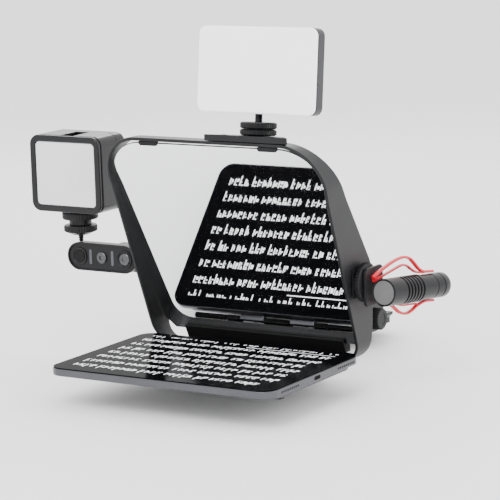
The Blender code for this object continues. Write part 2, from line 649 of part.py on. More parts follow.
def make_microphone():
    inner = hood_half(66.0) + GAP
    plate = [(inner, -9.0), (inner + 1.8, -9.0), (inner + 1.8, 17.0), (inner, 17.0)]
    prism("side_shoe_right", plate, "Z", 44.0, 65.0, BLACK_METAL)
    pivot = (100.0, KNOB_Y, KNOB_Z)
    knob = solid_round(15.0, 97.6, 102.4, 0.8)
    set_origin(lathe("mic_lock_knob", knob, "X", (0, KNOB_Y, KNOB_Z), BLACK_PLASTIC, PLAIN, 32), pivot)
    base = prism("mic_mount_base", rounded(-5.0, 22.0, 37.0, 66.0, 4.0, 4), "X", 102.8, 105.3, BLACK_PLASTIC)
    upper = make_spring_arm("mic_spring_upper", ARM_PATHS["upper"], 2.0, 0.9)
    lower = make_spring_arm("mic_spring_lower", ARM_PATHS["lower"], 2.0, 0.9)
    place = mic_place()
    body = [(0, 2.0), (9.6, 2.0), (MIC_R, 3.0), (MIC_R, 46.0), (9.7, 47.0), (9.7, 80.0), (9.0, 81.0), (0,
        81.0)]
    mic = lathe("mic_body", body, "Y", (0, 0, 0), BLACK_METAL, place, 32)
    grille = lathe("mic_grille", solid_round(9.6, 0.0, 1.7, 0.5), "Y", (0, 0, 0), GREY_METAL, place, 32)
    plug = lathe("mic_plug", solid_round(3.4, 81.3, 88.0, 0.5), "Y", (0, 0, 0), BLACK_PLASTIC, place, 16)
    for thing in (base, upper, lower, mic, grille, plug):
        set_origin(thing, pivot)


clear_scene()
make_hood()
make_glass()
make_glass_holders()
make_hinge_block()
make_tray()
make_tablet()
make_base()
make_carriage()
make_top_light()
make_side_arm()
make_cube_light()
make_microphone()
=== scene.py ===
"""Looks for the teleprompter: materials, fine detail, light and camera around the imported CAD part."""

import math
import random

import bmesh
import bpy
import numpy as np
from mathutils import Matrix, Vector


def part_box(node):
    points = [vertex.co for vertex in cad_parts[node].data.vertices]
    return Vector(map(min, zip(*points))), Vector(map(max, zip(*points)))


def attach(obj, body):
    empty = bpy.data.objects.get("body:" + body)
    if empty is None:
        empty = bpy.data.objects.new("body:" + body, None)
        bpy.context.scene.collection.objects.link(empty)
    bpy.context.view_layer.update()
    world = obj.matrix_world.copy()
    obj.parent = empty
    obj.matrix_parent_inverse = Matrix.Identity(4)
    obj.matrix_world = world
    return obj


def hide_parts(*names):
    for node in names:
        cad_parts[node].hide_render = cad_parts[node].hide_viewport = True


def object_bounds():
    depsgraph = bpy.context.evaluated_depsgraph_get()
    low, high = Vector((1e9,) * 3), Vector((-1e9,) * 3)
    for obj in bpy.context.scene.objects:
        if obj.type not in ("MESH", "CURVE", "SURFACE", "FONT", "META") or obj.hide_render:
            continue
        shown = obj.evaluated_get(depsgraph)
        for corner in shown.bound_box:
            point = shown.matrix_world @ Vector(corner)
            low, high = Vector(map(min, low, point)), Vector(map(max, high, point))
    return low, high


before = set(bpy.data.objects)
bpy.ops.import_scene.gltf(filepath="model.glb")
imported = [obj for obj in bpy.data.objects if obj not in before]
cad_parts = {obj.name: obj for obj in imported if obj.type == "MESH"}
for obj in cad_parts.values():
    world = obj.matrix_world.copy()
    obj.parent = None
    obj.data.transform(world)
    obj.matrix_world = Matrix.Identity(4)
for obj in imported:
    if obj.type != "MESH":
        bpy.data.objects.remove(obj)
CAD_LOW, CAD_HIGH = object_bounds()
MM = 0.001
TABLET_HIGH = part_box("tablet_body")[1]
SCREEN_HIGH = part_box("tablet_screen")[1]
# lengths are in millimetres from the middle of the far edge of the tablet's screen
BASE = Vector((0.0, TABLET_HIGH.y, SCREEN_HIGH.z))
PLAIN = Matrix.Identity(4)


def spot(node):
    """Middle of a CAD node's box, in local millimetres."""
    low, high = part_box(node)
    return ((low + high) / 2 - BASE) / MM


# ---------------------------------------------------------------- materials

def look(name, base, rough, metallic=0.0, spread=0.18, cloud=40.0, grain=1400.0, bump=0.12, rough_spread=0.1,
         glow=0.0, streak=None, shine=0.5):
    """Principled finish with clouded colour, uneven gloss and a fine surface grain."""
    mat = bpy.data.materials.new(name)
    mat.use_nodes = True
    tree = mat.node_tree
    shader = tree.nodes["Principled BSDF"]
    coord = tree.nodes.new("ShaderNodeTexCoord")
    place = tree.nodes.new("ShaderNodeMapping")
    tree.links.new(coord.outputs["Object"], place.inputs["Vector"])
    if streak:
        place.inputs["Scale"].default_value = streak
    clouds = tree.nodes.new("ShaderNodeTexNoise")
    clouds.inputs["Scale"].default_value = cloud
    clouds.inputs["Detail"].default_value = 5.0
    tree.links.new(place.outputs["Vector"], clouds.inputs["Vector"])
    ramp = tree.nodes.new("ShaderNodeValToRGB")
    ramp.color_ramp.elements[0].position = 0.3
    ramp.color_ramp.elements[1].position = 0.7
    ramp.color_ramp.elements[0].color = [c * (1 - spread) for c in base] + [1]
    ramp.color_ramp.elements[1].color = [min(1.0, c * (1 + spread)) for c in base] + [1]
    tree.links.new(clouds.outputs["Fac"], ramp.inputs["Fac"])
    tree.links.new(ramp.outputs["Color"], shader.inputs["Base Color"])
    fine = tree.nodes.new("ShaderNodeTexNoise")
    fine.inputs["Scale"].default_value = grain
    fine.inputs["Detail"].default_value = 3.0
    tree.links.new(place.outputs["Vector"], fine.inputs["Vector"])
    gloss = tree.nodes.new("ShaderNodeMapRange")
    gloss.inputs["To Min"].default_value = max(0.02, rough - rough_spread)
    gloss.inputs["To Max"].default_value = min(1.0, rough + rough_spread)
    tree.links.new(fine.outputs["Fac"], gloss.inputs["Value"])
    tree.links.new(gloss.outputs["Result"], shader.inputs["Roughness"])
    lift = tree.nodes.new("ShaderNodeBump")
    lift.inputs["Strength"].default_value = bump
    lift.inputs["Distance"].default_value = 0.0002
    tree.links.new(fine.outputs["Fac"], lift.inputs["Height"])
    tree.links.new(lift.outputs["Normal"], shader.inputs["Normal"])
    shader.inputs["Metallic"].default_value = metallic
    shader.inputs["Specular IOR Level"].default_value = shine
    if glow > 0:
        tree.links.new(ramp.outputs["Color"], shader.inputs["Emission Color"])
        shader.inputs["Emission Strength"].default_value = glow
    return mat


def weave_look(name, base, rough, cells, depth, glow=0.0):
    """Frosted plastic or wire mesh: a fine square grid in the surface."""
    mat = look(name, base, rough, spread=0.03, cloud=25.0, grain=2500.0, bump=0.05, glow=glow)
    tree = mat.node_tree
    shader = tree.nodes["Principled BSDF"]
    coord = tree.nodes.new("ShaderNodeTexCoord")
    waves = []
    for axis in ("X", "Z"):
        wave = tree.nodes.new("ShaderNodeTexWave")
        wave.bands_direction = axis
        wave.inputs["Scale"].default_value = cells
        wave.inputs["Distortion"].default_value = 0.0
        tree.links.new(coord.outputs["Object"], wave.inputs["Vector"])
        waves.append(wave)
    both = tree.nodes.new("ShaderNodeMath")
    both.operation = "ADD"
    tree.links.new(waves[0].outputs["Fac"], both.inputs[0])
    tree.links.new(waves[1].outputs["Fac"], both.inputs[1])
    lift = tree.nodes.new("ShaderNodeBump")
    lift.inputs["Strength"].default_value = depth
    lift.inputs["Distance"].default_value = 0.0003
    tree.links.new(both.outputs["Value"], lift.inputs["Height"])
    tree.links.new(lift.outputs["Normal"], shader.inputs["Normal"])
    return mat


HOOD_BLACK = look("hood_black", (0.011, 0.011, 0.012), 0.42, 0.1, bump=0.15, grain=1800.0, shine=0.24)
ANODISED = look("anodised_black", (0.008, 0.008, 0.009), 0.33, 0.08, bump=0.12, grain=1500.0, shine=0.22)
MOULDED = look("moulded_black", (0.007, 0.007, 0.008), 0.45, bump=0.25, grain=1100.0, shine=0.2)
DULL_BLACK = look("dull_black", (0.005, 0.005, 0.005), 0.7, bump=0.2, grain=1100.0, shine=0.12)
GLOSS_BLACK = look("gloss_black", (0.006, 0.006, 0.007), 0.2, bump=0.04, grain=900.0, rough_spread=0.05,
                   shine=0.3)
SPACE_GREY = look("space_grey", (0.09, 0.09, 0.1), 0.3, 0.9, spread=0.06, bump=0.1, grain=2600.0)
DARK_GREY = look("dark_grey_metal", (0.035, 0.035, 0.038), 0.36, 0.6, spread=0.1, bump=0.12, grain=2200.0)
STEEL = look("dark_steel", (0.09, 0.09, 0.095), 0.28, 1.0, spread=0.15, bump=0.1, grain=2000.0,
             streak=(1.0, 1.0, 6.0))
RUBBER = look("rubber", (0.008, 0.008, 0.008), 0.82, bump=0.35, grain=900.0, rough_spread=0.05, shine=0.2)
RED = look("red_spring", (0.6, 0.004, 0.02), 0.33, spread=0.12, bump=0.1, grain=1200.0)
PANEL_WHITE = weave_look("panel_diffuser", (0.86, 0.86, 0.88), 0.38, 120.0, 0.12, glow=0.9)
CUBE_WHITE = look("cube_diffuser", (0.62, 0.62, 0.64), 0.42, spread=0.04, cloud=30.0, bump=0.08, glow=0.45)
MIC_BLACK = look("mic_black", (0.006, 0.006, 0.007), 0.3, 0.1, bump=0.08, grain=1500.0, shine=0.18)
MESH_GREY = weave_look("mic_mesh", (0.16, 0.16, 0.16), 0.4, 420.0, 0.9)
SCREEN = look("screen_glass", (0.002, 0.002, 0.0025), 0.1, bump=0.01, grain=300.0, rough_spread=0.03,
              shine=0.3)
SCREEN.node_tree.nodes["Principled BSDF"].inputs["IOR"].default_value = 1.06
INK = look("screen_marks", (0.85, 0.87, 0.87), 0.4, spread=0.05, bump=0.02, glow=1.1)
# Painted shade: flat near-black patches laid on the surface stand for the shade inside holes, ports, vents,
# button gaps and grooves.
HOLE_SHADE = look("painted_hole_shade", (0.003, 0.003, 0.003), 0.8, bump=0.1, shine=0.1)


MIRROR_COVER = 0.985
WORLD_STRENGTH = 2.1


def glass_look():
    """Half-silvered glass: it mirrors the tablet and the bright room, and lets a little through."""
    mat = look("beam_glass", (0.94, 0.95, 0.96), 0.02, 1.0, spread=0.01, cloud=8.0, grain=60.0, bump=0.0,
               rough_spread=0.008)
    shader = mat.node_tree.nodes["Principled BSDF"]
    shader.inputs["Alpha"].default_value = MIRROR_COVER
    return mat


BEAM_GLASS = glass_look()


# ---------------------------------------------------------------- mesh tools

def make(name, verts, faces, mat, body, place=PLAIN, bevel=0.0, steps=2, flat=False):
    """One piece from local millimetre vertices, riding on a CAD body."""
    mesh = bpy.data.meshes.new(name)
    mesh.from_pydata([tuple(BASE + (place @ Vector(v)) * MM) for v in verts], [], faces)
    tidy = bmesh.new()
    tidy.from_mesh(mesh)
    if not flat:
        bmesh.ops.recalc_face_normals(tidy, faces=tidy.faces[:])
    tidy.to_mesh(mesh)
    tidy.free()
    thing = bpy.data.objects.new(name, mesh)
    bpy.context.scene.collection.objects.link(thing)
    mesh.materials.append(mat)
    if not flat:
        mesh.shade_smooth()
        mesh.set_sharp_from_angle(angle=math.radians(32))
    if bevel > 0:
        soft = thing.modifiers.new("soft_edge", "BEVEL")
        soft.width = bevel * MM
        soft.segments = steps
        soft.limit_method = "ANGLE"
        soft.angle_limit = math.radians(40)
        soft.harden_normals = True
    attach(thing, body)
    return thing


def axes(axis):
    return {"X": (1, 2, 0), "Y": (2, 0, 1), "Z": (0, 1, 2)}[axis]


def prism(name, line, axis, low, high, mat, body, place=PLAIN, bevel=0.4, steps=2):
    """Extrude an outline along an axis: (y, z) for X, (z, x) for Y, (x, y) for Z."""
    u, v, w = axes(axis)
    count = len(line)
    verts = []
    for level in (low, high):
        for a, b in line:
            point = [0.0, 0.0, 0.0]
            point[u], point[v], point[w] = a, b, level
            verts.append(point)
    faces = [tuple(reversed(range(count))), tuple(range(count, 2 * count))]
    for i in range(count):
        j = (i + 1) % count
        faces.append((i, j, count + j, count + i))
    return make(name, verts, faces, mat, body, place, bevel, steps)


def band(name, outer, inner, axis, low, high, mat, body, place=PLAIN, bevel=0.3):
    """Extrude the frame between two outlines with the same number of points."""
    u, v, w = axes(axis)
    count = len(outer)
    verts = []
    for level in (low, high):
        for line in (outer, inner):
            for a, b in line:
                point = [0.0, 0.0, 0.0]
                point[u], point[v], point[w] = a, b, level
                verts.append(point)
    faces = []
    for i in range(count):
        j = (i + 1) % count
        faces.append((i, count + i, count + j, j))
        faces.append((2 * count + i, 2 * count + j, 3 * count + j, 3 * count + i))
        faces.append((i, j, 2 * count + j, 2 * count + i))
        faces.append((count + j, count + i, 3 * count + i, 3 * count + j))
    return make(name, verts, faces, mat, body, place, bevel)


def lathe(name, profile, axis, centre, mat, body, place=PLAIN, segments=72, teeth=0, tooth=0.5, rows=()):
    """Turn a (radius, height) profile; where a row is named in rows the radius is knurled."""
    u, v, w = axes(axis)
    if teeth:
        segments = teeth * 4
    verts = []
    rings = []
    for number, (radius, height) in enumerate(profile):
        ring = []
        steps = segments if radius > 0 else 1
        for i in range(steps):
            angle = 2 * math.pi * i / segments
            reach = radius
            if number in rows and i % 4 in (2, 3):
                reach = radius - tooth
            point = list(centre)
            point[u] += reach * math.cos(angle)
            point[v] += reach * math.sin(angle)
            point[w] += height
            ring.append(len(verts))
            verts.append(point)
        rings.append(ring)
    pairs = list(zip(rings, rings[1:]))
    if profile[0][0] > 0:
        pairs.append((rings[-1], rings[0]))
    faces = []
    for low, high in pairs:
        for i in range(segments):
            j = (i + 1) % segments
            if len(low) == 1:
                faces.append((low[0], high[j], high[i]))
            elif len(high) == 1:
                faces.append((low[i], low[j], high[0]))
            else:
                faces.append((low[i], low[j], high[j], high[i]))
    return make(name, verts, faces, mat, body, place)


def rounded(low_u, high_u, low_v, high_v, radius, steps=12):
    corners = ((high_u - radius, high_v - radius, 0), (low_u + radius, high_v - radius, 90),
               (low_u + radius, low_v + radius, 180), (high_u - radius, low_v + radius, 270))
    points = []
    for cu, cv, start in corners:
        for i in range(steps + 1):
            angle = math.radians(start + 90 * i / steps)
            points.append((cu + radius * math.cos(angle), cv + radius * math.sin(angle)))
    return points


def swap(line):
    """(x, z) points as the (z, x) that a prism along Y takes."""
    return [(z, x) for x, z in line]


def stands_for(thing, slot, *nodes):
    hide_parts(*nodes)
    return thing


def join(name, things):
    """Merge pieces that share a body into one piece."""
    bpy.ops.object.select_all(action="DESELECT")
    for thing in things:
        thing.select_set(True)
    bpy.context.view_layer.objects.active = things[0]
    bpy.ops.object.join()
    things[0].name = name
    return things[0]


def finish_node(node, mat):
    """Give a CAD node that stays a better material."""
    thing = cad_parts[node]
    thing.data.materials.clear()
    thing.data.materials.append(mat)


# ---------------------------------------------------------------- hood

HOOD_TOP, HOOD_LOW, HOOD_THICK = 165.0, -9.0, 2.5
HALF_LOW, HALF_HIGH = 93.8, 96.9
HOOD_BACK = ((-9.0, 21.0), (0.0, 22.5), (12.0, 24.0), (22.0, 24.6), (54.0, 24.6), (62.0, 23.6), (69.0, 20.4),
             (165.0, -45.5))
LEAN = math.tan(math.radians(69.5))


def half(z):
    return HALF_LOW + (HALF_HIGH - HALF_LOW) * z / HOOD_TOP


def front(z):
    return 3.0 - z / LEAN


def rear(z):
    return float(np.interp(z, [p[0] for p in HOOD_BACK], [p[1] for p in HOOD_BACK]))


def arc(cx, cz, radius, start, steps):
    return [(cx + radius * math.cos(math.radians(start + 90 * i / steps)),
             cz + radius * math.sin(math.radians(start + 90 * i / steps))) for i in range(steps + 1)]


def hood_loop(inset):
    top, low = HOOD_TOP - inset, HOOD_LOW + inset
    half_top, half_low = half(HOOD_TOP) - inset, half(0) - inset
    heights = (12.0, 20.0, 30.0, 42.0, 50.0, 54.0, 58.0, 62.0, 65.5, 69.0, 80.0, 90.0, 100.0, 110.0, 120.0)
    r_top, r_low = 34.0 - inset, 17.0 - inset
    points = [(half(h) - inset, h) for h in heights]
    points += arc(half_top - r_top, top - r_top, r_top, 0, 26)
    points += arc(-half_top + r_top, top - r_top, r_top, 90, 26)
    points += [(-half(h) + inset, h) for h in reversed(heights)]
    points += arc(-half_low + r_low, low + r_low, r_low, 180, 16)
    points += arc(half_low - r_low, low + r_low, r_low, 270, 16)
    return points


def make_hood():
    outer, inner = hood_loop(0.0), hood_loop(HOOD_THICK)
    count = len(outer)
    verts = []
    for line in (outer, inner):
        verts += [(x, front(o[1]), z) for (x, z), o in zip(line, outer)]
        verts += [(x, rear(o[1]), z) for (x, z), o in zip(line, outer)]
    faces = []
    for i in range(count):
        j = (i + 1) % count
        a, b, c, d = 0, count, 2 * count, 3 * count
        faces += [(a + i, b + i, b + j, a + j), (b + i, d + i, d + j, b + j), (d + i, c + i, c + j, d + j),
                  (c + i, a + i, a + j, c + j)]
    hood = make("hood", verts, faces, HOOD_BLACK, "frame", bevel=0.7, steps=3)
    stands_for(hood, "black_metal", "hood_frame")


GLASS_LEAN = math.radians(64.9)
GLASS_UP = Vector((0, -math.cos(GLASS_LEAN), math.sin(GLASS_LEAN)))
GLASS_BACK = Vector((0, math.sin(GLASS_LEAN), math.cos(GLASS_LEAN)))
GLASS_FOOT = Vector((0, 21.0, 0))


def glass_place():
    place = Matrix((Vector((1, 0, 0)), GLASS_UP, GLASS_BACK)).transposed().to_4x4()
    place.translation = GLASS_FOOT
    return place


def glass_outline():
    low = 1.4
    top = 161.2 / math.sin(GLASS_LEAN) - 1.0
    low_half = half(0) - 3.0
    top_half = half(HOOD_TOP) - 3.3
    radius = 33.0
    points = [(low_half - 8.0, low), (low_half, low + 10.0)]
    points += arc(top_half - radius, top - radius, radius, 0, 24)
    points += arc(-top_half + radius, top - radius, radius, 90, 24)
    points += [(-low_half, low + 10.0), (-low_half + 8.0, low)]
    return points


def make_glass():
    pane = prism("beam_splitter", glass_outline(), "Z", 0.0, 2.0, BEAM_GLASS, "frame", glass_place(), 0.25)
    stands_for(pane, "beam_glass", "beam_splitter_glass")
    for side, x in (("left", -51.0), ("right", 54.0)):
        line = [(x - 8.5, 162.2), (x - 8.5, 160.6), (x - 7.0, 159.0), (x + 7.0, 159.0), (x + 8.5, 160.6),
                (x + 8.5, 162.2)]
        clip = prism("glass_clip_tab_" + side, swap(line), "Y", -58.0, -55.5, MOULDED, "frame", bevel=0.4)
        stands_for(clip, "black_plastic", "glass_clip_" + side)


# ---------------------------------------------------------------- marks on the screen and in the glass

FIRST_ROW, ROW_PITCH, LIT_EDGE = -113.5, 15.4, -9.5


CAMERA_AZIMUTH, CAMERA_ELEVATION, CAMERA_ROLL = 31.86, 10.23, -1.76
CAMERA_TARGET = Vector((0, -70.0, 60.0))
CAMERA_REACH, CAMERA_SHIFT_RIGHT, CAMERA_SHIFT_UP = 1790.4, 37.27, 24.27


def set_camera():
    """Camera on the presenter's right, a long lens, tipped a little."""
    azimuth, height, roll = (math.radians(a) for a in (CAMERA_AZIMUTH, CAMERA_ELEVATION, CAMERA_ROLL))
    back = Vector((math.sin(azimuth) * math.cos(height), -math.cos(azimuth) * math.cos(height),
                   math.sin(height)))
    right = (-back).cross(Vector((0, 0, 1))).normalized()
    up = right.cross(-back)
    turned_right = math.cos(roll) * right + math.sin(roll) * up
    turned_up = -math.sin(roll) * right + math.cos(roll) * up
    eye = CAMERA_TARGET + back * CAMERA_REACH
    eye += turned_right * CAMERA_SHIFT_RIGHT + turned_up * CAMERA_SHIFT_UP
    data = bpy.data.cameras.new("view")
    data.lens = 172.8
    data.sensor_width = 36.0
    data.clip_end = 50.0
    data.dof.use_dof = False
    camera = bpy.data.objects.new("view", data)
    bpy.context.scene.collection.objects.link(camera)
    turn = Matrix((turned_right, turned_up, back)).transposed().to_4x4()
    turn.translation = BASE + eye * MM
    camera.matrix_world = turn
    bpy.context.scene.camera = camera


def bar(x, y, wide, tall):
    """Upright stroke whose top points to the near edge of the tablet."""
    return [(x, y - tall), (x + wide, y - tall), (x + wide, y), (x, y)]


def marks():
    """Greeked rows: staggered blocks grouped like words, with no letter shapes."""
    rng = random.Random(7)
    strokes = []
    for row in range(8):
        base = FIRST_ROW + ROW_PITCH * row
        x = -84.0
        while x < 80.0:
            for _ in range(rng.randint(2, 8)):
                tall = 9.2 if rng.random() < 0.2 else 6.4
                strokes.append(bar(x, base, 0.9, tall))
                for level in (rng.choice((0.0, 1.2)), rng.choice((2.8, 3.6))):
                    wide = rng.choice((0.8, 1.5, 2.2))
                    strokes.append(bar(x + 1.3 + rng.random() * 0.6, base - level, wide,
                                       rng.choice((0.9, 2.0, 2.6))))
                x += 4.9
                if x > 82.0:
                    break
            x += 2.6
    return strokes


def make_marks():
    """Rows on the tablet's lit area; the glass mirrors them."""
    verts = []
    faces = []
    lit = [[(x, min(y, LIT_EDGE)) for x, y in quad] for quad in marks()
           if min(p[1] for p in quad) < LIT_EDGE - 0.2]
    lit.append(bar(6.0, -16.6, 78.0, 0.8))
    for quad in lit:
        start = len(verts)
        verts += [(x, y, 0.04) for x, y in quad]
        faces.append(tuple(range(start, start + len(quad))))
    make("screen_marks", verts, faces, INK, "tablet", flat=True)


# ---------------------------------------------------------------- tablet and tray

def make_tablet():
    line = rounded(-97.7, 97.7, -134.8, 0.0, 12.0, 16)
    shell = prism("tablet_shell", line, "Z", -6.3, -0.7, SPACE_GREY, "tablet", bevel=0.9, steps=3)
    stands_for(shell, "grey_metal", "tablet_body")
    line = rounded(-97.2, 97.2, -134.3, -0.5, 11.5, 16)
    glass = prism("tablet_cover_glass", line, "Z", -0.65, 0.0, SCREEN, "tablet", bevel=0.2)
    stands_for(glass, "screen_glass", "tablet_screen")
    holes = []
    # Speaker holes as thin near-black discs on the tablet's edge: painted shade for the holes.
    for start in (-118.0, -36.0):
        for i in range(9):
            y = start + 2.9 * i
            holes.append(lathe("hole", [(0, 97.65), (0.85, 97.65), (0.85, 97.78), (0, 97.78)], "X",
                               (0, y, -3.6), HOLE_SHADE, "tablet", segments=14))
    join("speaker_holes", holes)
    # The port as a flat near-black slot on the edge: painted shade for its opening.
    slot_line = rounded(-71.9, -62.9, -5.1, -2.3, 1.35, 6)
    port = prism("tablet_port", slot_line, "X", 97.66, 97.8, HOLE_SHADE, "tablet", bevel=0.0)
    stands_for(port, "screw_steel", "tablet_port_tongue")
    for node, low, high in (("tablet_power_button", -31.0, -19.0), ("tablet_volume_button", -66.0, -44.0)):
        key = prism(node + "_cap", rounded(low, high, -4.7, -2.7, 0.95, 6), "X", -98.1, -96.7, SPACE_GREY,
                    "tablet_power" if "power" in node else "tablet_volume", bevel=0.2)
        stands_for(key, "grey_metal", node)


def make_tray():
    line = rounded(-92.0, 92.0, -120.0, -1.0, 14.0, 12)
    tray = prism("tray", line, "Z", -10.6, -6.6, SPACE_GREY, "tray", bevel=0.8, steps=3)
    knuckles = [prism("knuckle", [(-1.5, -10.6), (3.0, -10.6), (4.2, -10.0), (4.6, -8.6), (4.2, -7.2),
                                  (3.0, -6.6),
                                  (-1.5, -6.6)], "X", low, high, SPACE_GREY, "tray", bevel=0.2)
                for low, high in ((-34.0, -12.0), (12.0, 34.0))]
    tray = join("tray", [tray] + knuckles)
    stands_for(tray, "grey_metal", "tray_plate")
    # Dull black barrels that close the gap beside the hinge block: a dark thing put there for painted shade,
    # so light from the floor through the gap doesn't show as a bright line.
    barrel = [(0, -14.5), (1.9, -14.5), (2.3, -14.1), (2.3, 14.1), (1.9, 14.5), (0, 14.5)]
    barrels = [lathe("barrel", barrel, "X", (x, 3.0, -8.6), DULL_BLACK, "tray", segments=32) for x in (-61.5,
                                                                                                       61.5)]
    join("gap_shade_barrels", barrels)
    for side in ("left", "right"):
        finish_node("tray_pad_" + side, RUBBER)
        finish_node("tray_foot_" + side, RUBBER)


# ---------------------------------------------------------------- base

def make_base():
    for node, mat in (("hinge_block", DULL_BLACK), ("hinge_pin", STEEL), ("tripod_foot", ANODISED),
                      ("rail_end_stop", STEEL), ("camera_pad", RUBBER), ("camera_carriage", ANODISED),
                      ("glass_bottom_channel", DULL_BLACK), ("side_shoe_left", ANODISED),
                      ("side_shoe_right", ANODISED),
                      ("camera_screw", STEEL)):
        finish_node(node, mat)
    line = [(-16.0, -21.0), (16.0, -21.0), (16.0, -16.3), (19.0, -13.3), (19.0, -11.3), (2.5, -11.3),
            (2.5, -12.5),
            (-2.5, -12.5), (-2.5, -11.3), (-19.0, -11.3), (-19.0, -13.3), (-16.0, -16.3)]
    rail = prism("camera_rail", swap(line), "Y", 30.3, 196.0, ANODISED, "frame", bevel=0.5)
    stands_for(rail, "black_metal", "base_rail")
    plate = band("camera_top_plate", rounded(-27, 27, 127, 173, 4), rounded(-3.6, 3.6, 138, 162, 3.5), "Z",
                 6.3, 10.3,
                 DARK_GREY, "carriage", bevel=0.4)
    stands_for(plate, "grey_metal", "camera_plate")
    profile = [(0, 20.5), (2.0, 20.5), (2.0, 24.4), (8.2, 24.4), (9.0, 25.2), (9.0, 33.2), (8.2, 34.0),
               (5.0, 34.0),
               (4.5, 33.6), (0, 33.6)]
    knob = lathe("clamp_knob_grip", profile, "X", (0, 150.0, -8.0), MOULDED, "clamp_knob", teeth=26,
                 tooth=0.6,
                 rows=(4, 5))
    stands_for(knob, "black_plastic", "carriage_knob")


# ---------------------------------------------------------------- top light

def shoe_place():
    place = Matrix.Rotation(math.radians(-7.0), 4, "X")
    place.translation = Vector((37.5, -42.0, 168.2))
    return place


def lock_disc(name, node, axis, centre, radius, inner, low, high, body, place=PLAIN, teeth=44, tooth=0.5):
    """Knurled lock disc with chamfered rims."""
    profile = [(inner, low), (radius - 1.3, low), (radius, low + 0.9), (radius, high - 0.9),
               (radius - 1.3, high),
               (inner, high)]
    thing = lathe(name, profile, axis, centre, ANODISED, body, place, teeth=teeth, tooth=tooth, rows=(2, 3))
    return stands_for(thing, "black_metal", node)


def make_top_light():
    place = shoe_place()
    front_y = front(HOOD_TOP) + 0.4
    rear_y = front_y + 24.5
    fall = math.tan(math.radians(7.0))
    high = 168.2 + (-42.0 - front_y) * fall
    low = 168.2 + (-42.0 - rear_y) * fall
    base = HOOD_TOP + 0.3
    mid = 36.0
    verts = [(mid - 36, front_y, base), (mid + 36, front_y, base), (mid + 19, rear_y, base),
             (mid - 19, rear_y, base),
             (mid - 36, front_y, high), (mid + 36, front_y, high), (mid + 19, rear_y, low),
             (mid - 19, rear_y, low)]
    faces = [(3, 2, 1, 0), (4, 5, 6, 7), (0, 1, 5, 4), (1, 2, 6, 5), (2, 3, 7, 6), (3, 0, 4, 7)]
    stands_for(make("shoe_bracket", verts, faces, HOOD_BLACK, "frame", bevel=0.6, steps=3), "black_metal",
               "top_shoe_bracket")
    for side in ("left", "right"):
        node = "bracket_screw_" + side
        x, y, _ = spot(node)
        profile = [(0, 163.2), (2.0, 163.2), (2.0, high - 0.4), (0.9, high - 0.2), (0, high - 0.9)]
        stands_for(lathe("bracket_bolt_" + side, profile, "Z", (x, y, 0), STEEL, "frame", segments=36),
                   "screw_steel",
                   node)
    lock_disc("shoe_lock_disc_lower", "top_lock_disc_lower", "Z", (0, 0, 0), 13.7, 3.3, 0.4, 5.0,
              "top_disc_low", place)
    lock_disc("shoe_lock_disc_upper", "top_lock_disc_upper", "Z", (0, 0, 0), 13.7, 3.3, 5.3, 10.3,
              "top_disc_high",
              place)
    profile = [(0, -1.6), (3.0, -1.4)]
    height = -1.0
    while height < 16.0:
        profile += [(3.0, height), (2.6, height + 0.5)]
        height += 1.0
    profile += [(3.0, 16.4), (3.0, 21.6), (2.6, 22.0), (0, 22.0)]
    stands_for(lathe("light_stud", profile, "Z", (0, 0, 0), STEEL, "top_light", place, segments=36),
               "screw_steel",
               "top_light_stud")
    line = swap(rounded(-50.8, 50.8, 16.5, 80.5, 6.0))
    shell = prism("light_panel_case", line, "Y", -3.4, 6.0, DARK_GREY, "top_light", place, 0.8, 3)
    stands_for(shell, "grey_metal", "top_light_housing")
    face = prism("light_panel_face", line, "Y", -6.6, -3.5, PANEL_WHITE, "top_light", place, 1.4, 4)
    stands_for(face, "diffuser", "top_light_diffuser")
    # Vents as flat near-black slots on the case back: painted shade.
    vents = [prism("vent", swap(rounded(x - 7, x + 7, z - 0.8, z + 0.8, 0.75, 4)), "Y", 5.98, 6.06, HOLE_SHADE,
                   "top_light",
                   place, 0.0) for x in (-22.0, 0.0) for z in (36.0, 40.0, 44.0, 48.0)]
    join("light_vents", vents)
    finish_node("top_light_button", MOULDED)


# ---------------------------------------------------------------- side arm and cube light

ARM_Z, ARM_R, PIVOT_X, END_X = 59.0, 11.3, -110.3, -153.7


def stadium(radius):
    points = []
    for centre, start in ((PIVOT_X, -90), (END_X, 90)):
        for i in range(25):
            angle = math.radians(start + 180 * i / 24)
            points.append((centre + radius * math.cos(angle), ARM_Z + radius * math.sin(angle)))
    return points


